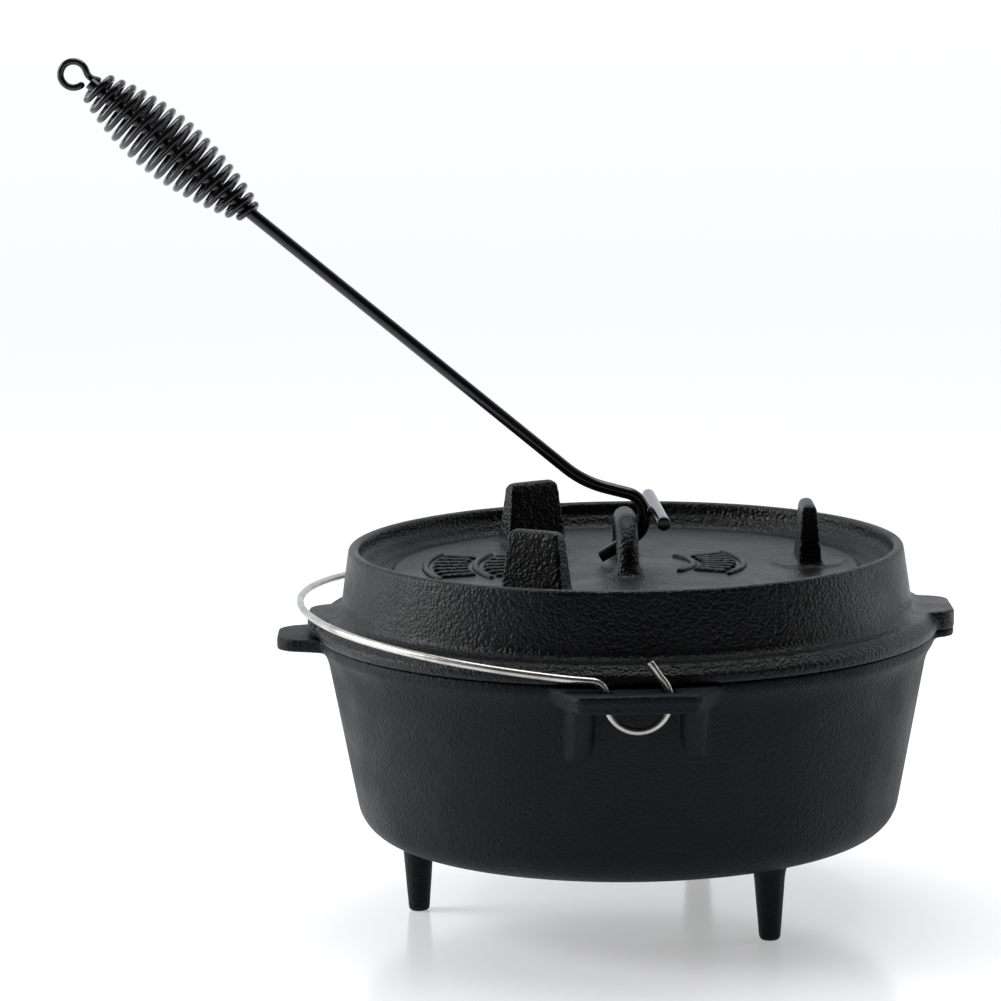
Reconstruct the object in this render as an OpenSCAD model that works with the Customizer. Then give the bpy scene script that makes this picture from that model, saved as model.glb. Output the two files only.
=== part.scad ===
// Footed camp oven: pot, nesting lid, wire bail, and a hooked lid lifter with a coil grip.
// Millimetres, +Z up. The origin is on the ground, at the middle of the pot's three feet.
// The bail's ears stand on -Y and +Y, the lifting lugs on -X and +X.

/* [Pot] */
// Outer radius of the pot's rim
rim_r = 172; // [140:1:210]
// Height of the rim above the ground
rim_z = 157; // [130:1:190]
// Height of the feet, up to the pot's underside
foot_h = 42.5; // [30:0.5:55]
// Thickness of the pot's wall
pot_wall = 5; // [3.5:0.1:7]
// Thickness of the pot's floor
floor_t = 6; // [4:0.1:8]
// How far the wall leans outwards, in degrees
wall_lean = 10.6; // [4:0.1:14]
// Outer fillet between wall and underside
base_fillet = 21.5; // [14:0.5:28]
// Height of the upright band under the rim
rim_band = 6; // [4:0.5:10]
// Height of the flare between wall and band
flare_h = 12; // [8:0.5:18]

/* [Feet] */
// Radius of the circle that the feet stand on
foot_circle_r = 119.5; // [90:0.5:125]
// Radius of a foot at the ground
foot_tip_r = 5.9; // [4:0.1:8]
// Radius of a foot where it meets the underside
foot_root_r = 8.9; // [8:0.1:12]
// Direction of the first foot, in degrees from +X
foot_turn = 68; // [0:1:119]

/* [Ears and lugs] */
// Thickness of the ears that hold the bail
ear_t = 10; // [6:0.5:14]
// Drop from the rim to the top of the ears
ear_drop = 1; // [0.5:0.5:4]
// Reach of the ears past the rim
ear_reach = 22; // [20:0.5:28]
// Half width of an ear at its front edge
ear_half_w = 34.5; // [28:0.5:41]
// Radius of the holes that the bail hangs in
ear_hole_r = 5.5; // [4.5:0.1:6.5]
// Thickness of the pot's side lugs
lug_t = 7; // [5:0.5:10]
// Reach of the long left lug past the rim
lug_reach = 23.4; // [14:0.2:28]
// Reach of the thin right lug past the rim, under the lid's right tab
thin_lug_reach = 10.5; // [8:0.5:16]
// Thickness of the thin right lug
thin_lug_t = 4; // [3:0.5:6]
// Half width of the lugs
lug_half_w = 25; // [18:0.5:30]

/* [Lid] */
// Height of the lid's upper rim above the pot's rim
lid_h = 47.5; // [38:0.5:56]
// Depth of the lid's deck below its upper rim
deck_drop = 12.5; // [8:0.5:18]
// Thickness of the lid
lid_t = 5.5; // [4:0.1:7]
// Overhang of the lid's flange past the pot's rim
flange_over = 2; // [1:0.5:4]
// Thickness of the flange's outer edge
flange_t = 6.5; // [4:0.5:9]
// Play between the lid's locating lip and the pot
lip_play = 1.2; // [0.5:0.1:2]
// Depth of the locating lip
lip_h = 4; // [3:0.5:8]
// Reach of the lid's left tab past the pot's rim, inside the bail
tab_reach = 6; // [5:0.2:7]
// Reach of the lid's right tab past the pot's rim
right_tab_reach = 10.5; // [8:0.5:16]
// Half width of the tabs
tab_half_w = 28; // [20:0.5:34]

/* [Lid legs and loop] */
// Height of the three legs above the deck
leg_h = 35; // [24:0.5:44]
// Radius of the circle that the legs stand on
leg_circle_r = 102; // [80:0.5:115]
// Width of a leg at its root
leg_root_w = 39; // [28:0.5:46]
// Thickness of a leg at its root
leg_root_t = 14; // [10:0.5:18]
// Height of the lifting loop above the deck
loop_h = 31; // [29:0.5:40]
// Radius of the loop's bar
loop_bar_r = 6.3; // [4.5:0.1:7.5]
// Distance between the loop's feet, middle to middle
loop_span = 66; // [56:1:80]

/* [Bail] */
// Radius of the bail's wire
bail_wire_r = 2; // [1.5:0.1:2.5]
// Radius of the end rings that turn in the ears
ring_r = 16.7; // [13:0.1:19]
// Clear gap between the lid's flange and the bail
bail_gap = 3; // [2.5:0.1:6]
// Angle at which the bail lies, above level
bail_rest = 5; // [4:0.5:8]

/* [Lifter] */
// Radius of the lifter's rod
rod_r = 3.4; // [2.8:0.1:4]
// Length of the rod from its bend to the hanging eye
rod_len = 351; // [280:1:420]
// Slope of the rod above level, in degrees
rod_slope = 40; // [34:0.1:46]
// Radius of the hook, at the middle of the rod
hook_r = 12; // [11.9:0.1:15]
// Length of the crossbar
bar_len = 104; // [70:1:130]
// Radius of the crossbar
bar_r = 3.8; // [3:0.1:5]
// Length of the coil grip
grip_len = 106; // [90:1:120]
// Outer radius of the grip at its widest
grip_r = 18.8; // [14:0.1:20]
// Radius of the grip's wire
grip_wire_r = 1.9; // [1.2:0.1:2.2]
// Turns of wire in the grip
grip_turns = 17; // [13:1:20]
// Radius of the hanging eye, at the middle of its wire
eye_r = 7.2; // [5:0.1:9]

/* [Hidden] */
$fn = 96;
iron = "#2b2c2e";
steel = "#b9bab8";
black = "#141518";

seat_gap = 0.2;                                   // the lid rests this far above the machined rim
base_r = rim_r - 2 - (rim_z - foot_h) * tan(wall_lean);
flare_z = rim_z - rim_band - flare_h;
floor_z = foot_h + floor_t;
seat_z = rim_z + seat_gap;
flange_r = rim_r + flange_over;
lid_top_z = rim_z + lid_h;
deck_z = lid_top_z - deck_drop;
lid_foot_r = rim_r - 12.7;                        // the lid's wall where it meets the flange
lid_top_r = rim_r - 17;                           // and at its upper rim
lid_rim_t = 6;
moat_d = 2.2;
moat_r = lid_top_r - 16;
deck_r = moat_r - 9;

ear_top = rim_z - ear_drop;
ear_root_half_w = ear_half_w + 11;
hole_y = flange_r + bail_wire_r + bail_gap;       // the end rings stand clear of the lid's flange
ear_front = rim_r + ear_reach;
pivot_z = ear_top - ear_t / 2;
bail_r = hole_y + 3.3;
bend_r = 9;                                       // of the bail, where it leaves the ear
ear_corner = 6;
lug_corner = 14;
tab_t = flange_t + 4;

loop_top = deck_z + loop_h;
loop_bend_r = 20;
loop_bar_z = loop_top - loop_bar_r;
hook_x = -1.2;
hook_z = loop_bar_z + 1.5;                        // the lifter tilts about this point
hook_drop = 2.8;                                  // straight stretch between the hook's two bends
neck_slope = 15;                                  // the short neck between rod and hook
neck_len = 25.8;
neck_bend = 13;

function wall_r(z) = base_r + (z - foot_h) * tan(wall_lean);

// Points on a circle's arc, and inside a curve from p to s that leans towards q
function arc(c, r, a0, a1, n) =
    [for (i = [0:n]) let (a = a0 + (a1 - a0) * i / n) c + r * [cos(a), sin(a)]];
function blend(p, q, s, n) =
    [for (i = [1:n - 1]) let (t = i / n) (1 - t) * (1 - t) * p + 2 * t * (1 - t) * q + t * t * s];

// The fillet's centre, for a wall that stands off the outer one by d and a floor at height z
function base_arc(d, z, r) =
    let (cz = z + r, cx = wall_r(cz) - (d + r) / cos(wall_lean))
    arc([cx, cz], r, -90, -wall_lean, 10);

module tab(root_half_w, tip_half_w, root, tip, corner, thick) {
    linear_extrude(thick) {
        polygon([[root, -root_half_w], [tip - corner, -tip_half_w], [tip, corner - tip_half_w],
                 [tip, tip_half_w - corner], [tip - corner, tip_half_w], [root, root_half_w]]);
        for (side = [-1, 1])
            translate([tip - corner, side * (tip_half_w - corner)]) circle(corner);
    }
}

// A round bar swept along points p, with n sides and the radius r, or one radius for each point
function unit(v) = v / norm(v);
function along(p, i) = unit(p[min(i + 1, len(p) - 1)] - p[max(i - 1, 0)]);
function across(t) = unit(cross(t, abs(t.z) < 0.8 ? [0, 0, 1] : [0, 1, 0]));
function frames(p, i = 0, s = undef) = i >= len(p) ? []
    : let (t = along(p, i), q = s == undef ? across(t) : unit(s - (s * t) * t))
      concat([[t, q]], frames(p, i + 1, q));

module wire(p, r, n = 12) {
    f = frames(p);
    last = len(p) - 1;
    points = [for (i = [0:last], k = [0:n - 1])
        let (a = 360 * k / n, u = f[i][1], v = cross(f[i][0], u), ri = is_list(r) ? r[i] : r)
        p[i] + ri * (cos(a) * u + sin(a) * v)];
    sides = [for (i = [0:last - 1], k = [0:n - 1]) let (a = i * n + k, b = i * n + (k + 1) % n)
        [a, a + n, b + n, b]];
    ends = [[for (k = [0:n - 1]) k], [for (k = [n - 1:-1:0]) last * n + k]];
    polyhedron(points = points, faces = concat(ends, sides), convexity = 10);
}

// ---- pot ----

module pot_shell() {
    rotate_extrude() polygon(concat(
        [[0, foot_h]],
        base_arc(0, foot_h, base_fillet),
        [[wall_r(flare_z), flare_z]],
        blend([wall_r(flare_z), flare_z], [wall_r(flare_z + flare_h * 0.6), flare_z + flare_h * 0.6],
              [rim_r, rim_z - rim_band], 5),
        [[rim_r, rim_z - rim_band], [rim_r, rim_z - 1], [rim_r - 1, rim_z]],
        [[wall_r(rim_z) - pot_wall / cos(wall_lean), rim_z]],
        [for (p = [10:-1:0]) base_arc(pot_wall, floor_z, base_fillet - pot_wall)[p]],
        [[0, floor_z]]));
}

// The cooking space, open at the top and carried on past the rim by extra
module cavity(extra) {
    top_r = wall_r(rim_z + extra) - pot_wall / cos(wall_lean);
    rotate_extrude() polygon(concat(
        [[0, floor_z]], base_arc(pot_wall, floor_z, base_fillet - pot_wall),
        [[top_r, rim_z + extra], [0, rim_z + extra]]));
}

module foot(a) {
    rotate(a) translate([foot_circle_r, 0, 0])
        cylinder(h = foot_h + floor_t / 2, r1 = foot_tip_r, r2 = foot_root_r);
}

module gusset(a, x, reach, thick, z_top, drop) {
    root = wall_r(z_top - drop) - pot_wall / 2;
    rotate(a) translate([0, x + thick / 2, 0]) rotate([90, 0, 0]) linear_extrude(thick)
        polygon([[root, z_top - drop], [root + 4, z_top - drop], [reach - 8, z_top - 9],
                 [reach - 3, z_top], [root, z_top]]);
}

module bail_ear(a) {
    inner = wall_r(ear_top - ear_t) - pot_wall / 2;
    rotate(a) translate([0, 0, ear_top - ear_t])
        tab(ear_root_half_w, ear_half_w, inner, ear_front, ear_corner, ear_t);
    for (x = [-1, 1] * (ear_half_w - 4.5)) gusset(a, x, ear_front - 4, 9, ear_top - ear_t + 1, 26);
}

module lug(a, reach, thick) {
    inner = wall_r(rim_z - thick) - pot_wall / 2;
    rotate(a) translate([0, 0, rim_z - thick - 0.5])
        tab(lug_half_w + 6, lug_half_w, inner, rim_r + reach, lug_corner, thick);
}

module pot() {
    color(iron) difference() {
        union() {
            pot_shell();
            for (k = [0:2]) foot(foot_turn + 120 * k);
            for (a = [90, 270]) bail_ear(a);
            lug(180, lug_reach, lug_t);
            lug(0, thin_lug_reach, thin_lug_t);
        }
        for (side = [-1, 1], x = [-ring_r, ring_r])
            translate([x, side * hole_y, ear_top - 2 * ear_t]) cylinder(h = 3 * ear_t, r = ear_hole_r);
        cavity(20);                                   // clears the roots of the feet, ears and lugs
    }
}

// ---- lid ----

// Radius of the lid's outer wall at height z
function lid_r(z) = lid_foot_r + (lid_top_r - lid_foot_r) * (z - seat_z - 15.5) / (lid_top_z - seat_z - 15.5);

module lid_shell() {
    inner_r = wall_r(rim_z) - pot_wall / cos(wall_lean) - lip_play;
    under = deck_z - lid_t;
    rotate_extrude() polygon(concat(
        [[0, deck_z], [deck_r - 1.5, deck_z], [deck_r, deck_z - moat_d], [moat_r, deck_z - moat_d]],
        blend([moat_r, deck_z - moat_d], [lid_top_r - lid_rim_t - 3, deck_z - moat_d],
              [lid_top_r - lid_rim_t - 0.5, lid_top_z - 4], 5),
        arc([lid_top_r - lid_rim_t + 2.5, lid_top_z - 2.5], 2.5, 170, 90, 5),
        arc([lid_top_r - 2, lid_top_z - 2], 2, 90, 5, 5),
        [[lid_foot_r, seat_z + 15.5]],
        blend([lid_foot_r, seat_z + 15.5], [lid_foot_r + 0.3, seat_z + 12],
              [lid_foot_r + 4.5, seat_z + 11], 4),
        [[lid_foot_r + 4.5, seat_z + 11]],
        arc([flange_r - 2.5, seat_z + flange_t - 2.5], 2.5, 70, 0, 4),
        [[flange_r, seat_z + 0.8], [flange_r - 0.8, seat_z], [inner_r, seat_z],
         [inner_r - 0.5, seat_z - lip_h], [inner_r - 5, seat_z - lip_h],
         [lid_foot_r - lid_t, seat_z + 10], [lid_r(under - 12) - lid_t, under - 12]],
        blend([lid_r(under - 12) - lid_t, under - 12], [lid_r(under) - lid_t, under - moat_d],
              [moat_r - 2, under - moat_d], 5),
        [[moat_r - 2, under - moat_d], [deck_r - 4, under - moat_d], [deck_r - 7, under], [0, under]]));
}

module lid_leg(a) {
    hull() {
        rotate(a) translate([leg_circle_r - leg_root_t / 2, -leg_root_w / 2, deck_z - 3])
            cube([leg_root_t, leg_root_w, 3]);
        rotate(a) translate([leg_circle_r, 0, deck_z + leg_h - 3])
            for (y = [-1, 1] * (leg_root_w / 2 - 5.5), x = [-1, 1])
                translate([x, y, 0]) sphere(r = 3, $fn = 24);
    }
}

// Half of the loop's middle line, in Y and Z: up from the deck, round the corner, to the crown
loop_half = concat(
    [[loop_span / 2, deck_z - 2], [loop_span / 2, deck_z + 1.5], [loop_span / 2, deck_z + 4]],
    arc([loop_span / 2 - loop_bend_r, loop_bar_z - loop_bend_r], loop_bend_r, 0, 90, 6));
loop_flare = [3.6, 2, 0.8];                       // how much the bar spreads at its three lowest rings

module lid_loop() {
    last = len(loop_half) - 1;
    points = concat([for (p = loop_half) [0, p.x, p.y]],
                    [for (i = [last:-1:0]) [0, -loop_half[i].x, loop_half[i].y]]);
    spread = [for (i = [0:last]) loop_bar_r + (i < 3 ? loop_flare[i] : 0)];
    wire(points, concat(spread, [for (i = [last:-1:0]) spread[i]]), 20);
}

module lid() {
    color(iron) {
        lid_shell();
        for (a = [0, 180]) rotate(a) translate([0, 0, seat_z])
            tab(tab_half_w + 3, tab_half_w, lid_foot_r + 3, rim_r + (a == 0 ? right_tab_reach : tab_reach),
                lug_corner, tab_t);
        for (k = [0:2]) lid_leg(120 * k);
        lid_loop();
    }
}

// ---- bail ----

leg_lift = 10.5;                                  // the bail's plane above the pivot, over the ear
leg_x = -ring_r - bend_r + 1;                     // where the bend out of the ear ends
leg_z = pivot_z + leg_lift;
crown_rise = tan(bail_rest);

// One end: free tip, up the outer hole, round under the ear, up the inner hole, and out
function end_ring(side) = concat(
    [[6.6, side * hole_y, pivot_z + 19.8]],
    [for (a = [48:-12:-180]) [ring_r * cos(a), side * hole_y, pivot_z + ring_r * sin(a)]],
    [for (a = [0:18:85]) [leg_x + (bend_r - 1) * cos(a), side * (hole_y + 0.6 * a / 85),
                          leg_z - bend_r + 1 + (bend_r - 1) * sin(a)]]);
leg_a = asin(-leg_x / bail_r) + 3;
bow = [for (a = [90 - leg_a:-4.5:-(90 - leg_a)]) let (x = -bail_r * cos(a))
    [x, -bail_r * sin(a), leg_z + (leg_x - x) * crown_rise]];
front_end = end_ring(-1);
back_end = end_ring(1);

module bail() {
    back = [for (i = [len(back_end) - 1:-1:0]) back_end[i]];
    color(steel) wire(concat(front_end, bow, back), bail_wire_r);
}

// ---- lifter ----

// The rod's middle line, in X and Z: eye end, straight, neck, hook, and the tip that lies under the loop
hook_c = [hook_x, hook_z];
hook_end_a = -60;
tip_len = 21.6;
neck_up = [-cos(neck_slope), sin(neck_slope)];
neck_end = hook_c + [0, hook_drop] + hook_r * [sin(neck_slope), cos(neck_slope)];
neck_start = neck_end + neck_len * neck_up;
rod_up = [-cos(rod_slope), sin(rod_slope)];
rod_end = neck_start + rod_len * rod_up;
rod_line = concat(
    [rod_end, neck_start + neck_bend * rod_up],
    blend(neck_start + neck_bend * rod_up, neck_start, neck_start - neck_bend * neck_up, 7),
    [neck_start - neck_bend * neck_up],
    arc(hook_c + [0, hook_drop], hook_r, 90 - neck_slope, 0, 7),
    arc(hook_c, hook_r, 0, hook_end_a, 6),
    [hook_c + hook_r * [cos(hook_end_a), sin(hook_end_a)] + tip_len * [sin(hook_end_a), -cos(hook_end_a)]]);

module lifter_rod() {
    color(black) wire([for (p = rod_line) [p.x, 0, p.y]], rod_r, 16);
}

bar_a = 11;                                       // where on the hook the crossbar is welded, from +X
bar_turn = 2.4;                                   // of the crossbar, out of square with the hook
bar_x = hook_x + (hook_r + rod_r + bar_r - 0.4) * cos(bar_a);
bar_z = hook_z + hook_drop / 2 + (hook_r + rod_r + bar_r - 0.4) * sin(bar_a);

module lifter_crossbar() {
    color(black) translate([bar_x, 0, bar_z]) rotate([90, 0, bar_turn])
        cylinder(h = bar_len, r = bar_r, center = true);
}

// One wire: an open hanging eye, then a barrel-shaped winding, then a tail that grips the rod
axis = [rod_up.x, 0, rod_up.y];
normal = [sin(rod_slope), 0, cos(rod_slope)];
rod_tip = [rod_end.x, 0, rod_end.y];
eye_gap = 1;                                      // between the rod's end and the eye
eye_drop = 2;                                     // of the eye's middle, below the rod's line
eye_c = rod_tip + (eye_r + grip_wire_r + eye_gap) * axis - eye_drop * normal;
grip_top = rod_tip - 2 * axis;
end_play = 1.9;                                   // of the first and last turn round the rod
grip_squeeze = 0.1;                               // of the tail on the rod
end_r = rod_r + grip_wire_r + end_play;
tail_r = rod_r + grip_wire_r - grip_squeeze;
turn_steps = 14;

function swell(t) = end_r + (grip_r - grip_wire_r - end_r) * pow(sin(180 * pow(t, 0.93)), 0.9);
function around(a, r, h) = grip_top - h * axis + r * (cos(a) * normal + sin(a) * [0, 1, 0]);
eye_end_a = 125;
eye_line = [for (b = [-165:20:eye_end_a - 10]) eye_c + eye_r * (cos(b) * axis + sin(b) * normal)];
eye_exit = eye_c + eye_r * (cos(eye_end_a) * axis + sin(eye_end_a) * normal);
eye_lead = 5;                                     // how far the wire runs on from the eye before it winds
eye_bend = eye_exit + eye_lead * (cos(eye_end_a) * normal - sin(eye_end_a) * axis);
coil_start_a = 60;
coil_line = [for (i = [0:grip_turns * turn_steps]) let (t = i / (grip_turns * turn_steps))
    around(coil_start_a + 360 * grip_turns * t, swell(t), grip_len * t)];
tail_line = [for (i = [1:turn_steps]) let (t = i / turn_steps)
    around(coil_start_a + 360 * (grip_turns + t), end_r + (tail_r - end_r) * min(1, 2 * t), grip_len + 5 * t)];

module lifter_grip() {
    link = blend(eye_exit, eye_bend, coil_line[0], 5);
    color(black) wire(concat(eye_line, [eye_exit], link, coil_line, tail_line), grip_wire_r, 8);
}

pot();
lid();
bail();
lifter_rod();
lifter_crossbar();
lifter_grip();
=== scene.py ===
"""Footed camp oven: a cast pot and lid, a wire bail and a hooked lid lifter, in soft studio light.

Lengths are in millimetres while a piece is being modelled, and become metres when it is finished.
"""
import logging
import math
from dataclasses import dataclass
from enum import Enum
from math import cos, pi, radians, sin, tan
from typing import Sequence

import bmesh
import bpy
from bmesh.types import BMesh, BMVert
from mathutils import Matrix, Vector


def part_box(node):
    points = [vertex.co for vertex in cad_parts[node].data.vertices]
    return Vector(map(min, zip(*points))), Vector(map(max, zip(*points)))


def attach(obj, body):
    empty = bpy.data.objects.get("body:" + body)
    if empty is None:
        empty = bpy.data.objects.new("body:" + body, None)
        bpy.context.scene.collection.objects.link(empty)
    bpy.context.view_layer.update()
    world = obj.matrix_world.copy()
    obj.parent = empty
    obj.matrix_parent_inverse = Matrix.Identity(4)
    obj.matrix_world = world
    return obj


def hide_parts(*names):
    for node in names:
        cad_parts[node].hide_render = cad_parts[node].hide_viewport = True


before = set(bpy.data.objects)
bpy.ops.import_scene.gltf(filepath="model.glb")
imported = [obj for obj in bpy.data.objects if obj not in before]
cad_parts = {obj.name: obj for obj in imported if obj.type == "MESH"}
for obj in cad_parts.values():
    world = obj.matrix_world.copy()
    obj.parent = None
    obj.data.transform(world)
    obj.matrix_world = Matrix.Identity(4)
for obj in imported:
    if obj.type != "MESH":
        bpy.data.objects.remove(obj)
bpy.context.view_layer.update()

LOG = logging.getLogger("camp_oven")
MM = 0.001
TRIANGLES_PER_CASTING = 185_000

Outline = list[tuple[float, float]]


class Slot(str, Enum):
    """The record's material slots."""

    POT = "cast_iron_pot"
    LID = "cast_iron_lid"
    BAIL = "bail_wire"
    LIFTER = "lifter_steel"


class End(Enum):
    """How a bar's end is left: sawn with its edge broken, or rounded over."""

    SAWN = "sawn"
    ROUND = "round"


# ---------------------------------------------------------------- outlines and lines


def arc(centre: tuple[float, float], radius: float, start: float, end: float, steps: int) -> Outline:
    """Points along a circle's arc.

    Args:
        centre: The circle's middle.
        radius: Its radius.
        start: Angle of the first point, in degrees.
        end: Angle of the last point.
        steps: How many stretches the arc is cut into.

    Returns:
        The points, both ends included.
    """
    angles = [radians(start + (end - start) * i / steps) for i in range(steps + 1)]
    return [(centre[0] + radius * cos(a), centre[1] + radius * sin(a)) for a in angles]


def ease(first: tuple[float, float], pull: tuple[float, float], last: tuple[float, float],
         steps: int) -> Outline:
    """Points along a soft bend that leaves first and reaches last, both heading through pull."""
    points = []
    for i in range(steps + 1):
        t = i / steps
        points.append(tuple((1 - t) ** 2 * a + 2 * t * (1 - t) * b + t ** 2 * c
                            for a, b, c in zip(first, pull, last)))
    return points


def polar(radius: float, angle: float, z: float = 0.0) -> Vector:
    """The point at that radius and that angle in degrees, at height z."""
    return Vector((radius * cos(radians(angle)), radius * sin(radians(angle)), z))


# ---------------------------------------------------------------- shaping


def tidy(bm: BMesh) -> BMesh:
    """Merges doubled points and turns every face outwards."""
    bmesh.ops.remove_doubles(bm, verts=bm.verts, dist=0.001)
    bmesh.ops.dissolve_degenerate(bm, dist=0.0005, edges=bm.edges)
    bmesh.ops.recalc_face_normals(bm, faces=bm.faces)
    return bm


def lathe(outline: Outline, steps: int = 288) -> BMesh:
    """A solid turned about Z.

    Args:
        outline: Radius and height of each point. It closes on itself, or runs from axis to axis.
        steps: Number of stretches round the turn.

    Returns:
        The closed solid.
    """
    bm = bmesh.new()
    verts = [bm.verts.new((r, 0.0, z)) for r, z in outline]
    on_axis = outline[0][0] == 0 and outline[-1][0] == 0
    ends = verts[1:] if on_axis else verts[1:] + verts[:1]
    edges = [bm.edges.new(pair) for pair in zip(verts, ends)]
    bmesh.ops.spin(bm, geom=verts + edges, cent=(0, 0, 0), axis=(0, 0, 1), angle=2 * pi,
                   steps=steps, use_merge=True)
    return tidy(bm)


def slab(outline: Outline, bottom: float, top: float, holes: Sequence[Outline] = ()) -> BMesh:
    """A flat plate.

    Args:
        outline: Its outer edge, in X and Y.
        bottom: Height of its underside.
        top: Height of its upper face.
        holes: Outlines of the holes through it.

    Returns:
        The closed plate.
    """
    bm = bmesh.new()
    edges = []
    for loop in (outline, *holes):
        verts = [bm.verts.new((x, y, bottom)) for x, y in loop]
        edges += [bm.edges.new(pair) for pair in zip(verts, verts[1:] + verts[:1])]
    bmesh.ops.triangle_fill(bm, use_beauty=True, edges=edges)
    grown = bmesh.ops.extrude_face_region(bm, geom=list(bm.faces), use_keep_orig=True)
    upper = [item for item in grown["geom"] if isinstance(item, BMVert)]
    bmesh.ops.translate(bm, verts=upper, vec=(0, 0, top - bottom))
    return tidy(bm)


def turned(bm: BMesh, matrix: Matrix) -> BMesh:
    """The same shape, moved by the matrix."""
    bmesh.ops.transform(bm, matrix=matrix, verts=bm.verts)
    return bm


def about_z(angle: float) -> Matrix:
    """A turn about Z by that angle in degrees."""
    return Matrix.Rotation(radians(angle), 4, "Z")


def ended(line: Sequence[Vector], radii: Sequence[float], end: End) -> tuple[list[Vector], list[float]]:
    """Adds the rings that finish both ends of a bar.

    Args:
        line: The bar's middle line.
        radii: The bar's radius at each of its points.
        end: How the ends are left.

    Returns:
        The longer line and its radii.
    """
    points, sizes = list(line), list(radii)
    for at_start in (True, False):
        tip, inner = (points[0], points[1]) if at_start else (points[-1], points[-2])
        radius = sizes[0] if at_start else sizes[-1]
        outwards = (tip - inner).normalized()
        if end is End.ROUND:
            extra = [(radius * sin(radians(a)), radius * cos(radians(a))) for a in (22, 45, 65, 82)]
        else:
            edge = 0.14 * radius
            extra = [(edge * sin(radians(a)), radius - edge * (1 - cos(radians(a)))) for a in (30, 60, 90)]
        rings = [(tip + reach * outwards, size) for reach, size in extra]
        if at_start:
            points = [p for p, _ in reversed(rings)] + points
            sizes = [s for _, s in reversed(rings)] + sizes
        else:
            points += [p for p, _ in rings]
            sizes += [s for _, s in rings]
    return points, sizes


def bar(line: Sequence[Vector], radii: float | Sequence[float], sides: int = 24,
        end: End = End.SAWN) -> BMesh:
    """A round bar bent along a line.

    Args:
        line: The points of its middle line.
        radii: Its radius, or its radius at each point.
        sides: Number of sides of its section.
        end: How both ends are left.

    Returns:
        The closed bar.
    """
    sizes = [radii] * len(line) if isinstance(radii, (int, float)) else list(radii)
    points, sizes = ended(line, sizes, end)
    headings = [(b - a).normalized() for a, b in zip(points[:1] + points[:-1], points[1:] + points[-1:])]
    headings[0] = (points[1] - points[0]).normalized()
    bm = bmesh.new()
    turn = headings[0].to_track_quat("Z", "Y")
    place = Matrix.LocRotScale(points[0], turn, Vector((sizes[0],) * 3))
    bmesh.ops.create_circle(bm, cap_ends=False, segments=sides, radius=1.0, matrix=place)
    ring = list(bm.edges)
    for i in range(1, len(points)):
        turn = headings[i - 1].rotation_difference(headings[i]) @ turn
        after = Matrix.LocRotScale(points[i], turn, Vector((sizes[i],) * 3))
        grown = bmesh.ops.extrude_edge_only(bm, edges=ring)["geom"]
        verts = {item for item in grown if isinstance(item, BMVert)}
        ring = [item for item in grown if isinstance(item, bmesh.types.BMEdge) and set(item.verts) <= verts]
        bmesh.ops.transform(bm, matrix=after @ place.inverted(), verts=list(verts))
        place = after
    bmesh.ops.holes_fill(bm, edges=[e for e in bm.edges if e.is_boundary], sides=sides)
    bmesh.ops.recalc_face_normals(bm, faces=bm.faces)
    return bm


def together(shapes: Sequence[BMesh]) -> BMesh:
    """One bmesh that holds all the shapes, which are freed."""
    whole = bmesh.new()
    for shape in shapes:
        spare = bpy.data.meshes.new("spare")
        shape.to_mesh(spare)
        whole.from_mesh(spare)
        bpy.data.meshes.remove(spare)
        shape.free()
    return whole


# ---------------------------------------------------------------- finishing a piece


def settled(piece: bpy.types.Object) -> bpy.types.Object:
    """Bakes the piece's modifiers into its mesh."""
    depsgraph = bpy.context.evaluated_depsgraph_get()
    mesh = bpy.data.meshes.new_from_object(piece.evaluated_get(depsgraph))
    old = piece.data
    piece.modifiers.clear()
    piece.data = mesh
    bpy.data.meshes.remove(old)
    return piece


def finished(name: str, shape: BMesh, sharp_over: float = 40.0) -> bpy.types.Object:
    """Makes an object of the shape, in metres.

    Args:
        name: The piece's name.
        shape: Its shape in millimetres, which is freed.
        sharp_over: Edges that bend by more than this, in degrees, stay crisp.

    Returns:
        The new object.
    """
    bmesh.ops.scale(shape, vec=(MM, MM, MM), verts=shape.verts)
    mesh = bpy.data.meshes.new(name)
    shape.to_mesh(mesh)
    shape.free()
    mesh.shade_smooth()
    mesh.set_sharp_from_angle(angle=radians(sharp_over))
    piece = bpy.data.objects.new(name, mesh)
    bpy.context.scene.collection.objects.link(piece)
    return piece


def cast_in_one(name: str, shapes: Sequence[BMesh], voxel: float, rounds: int) -> bpy.types.Object:
    """Fuses overlapping shapes to one casting, with soft edges and filleted corners.

    Args:
        name: The piece's name.
        shapes: Closed shapes that overlap.
        voxel: Size of the grid that they're fused on, in millimetres.
        rounds: How often the surface is smoothed: each one widens the fillets.

    Returns:
        The casting.
    """
    piece = finished(name, together(shapes), 180.0)
    fuse = piece.modifiers.new("fuse", "REMESH")
    fuse.mode = "VOXEL"
    fuse.voxel_size = voxel * MM
    fuse.use_smooth_shade = True
    soften = piece.modifiers.new("soften", "SMOOTH")
    soften.factor = 0.5
    soften.iterations = rounds
    settled(piece)
    count = sum(len(face.vertices) - 2 for face in piece.data.polygons)
    if count > TRIANGLES_PER_CASTING:
        thin = piece.modifiers.new("thin", "DECIMATE")
        thin.ratio = TRIANGLES_PER_CASTING / count
        settled(piece)
    piece.data.shade_smooth()
    return piece


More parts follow.
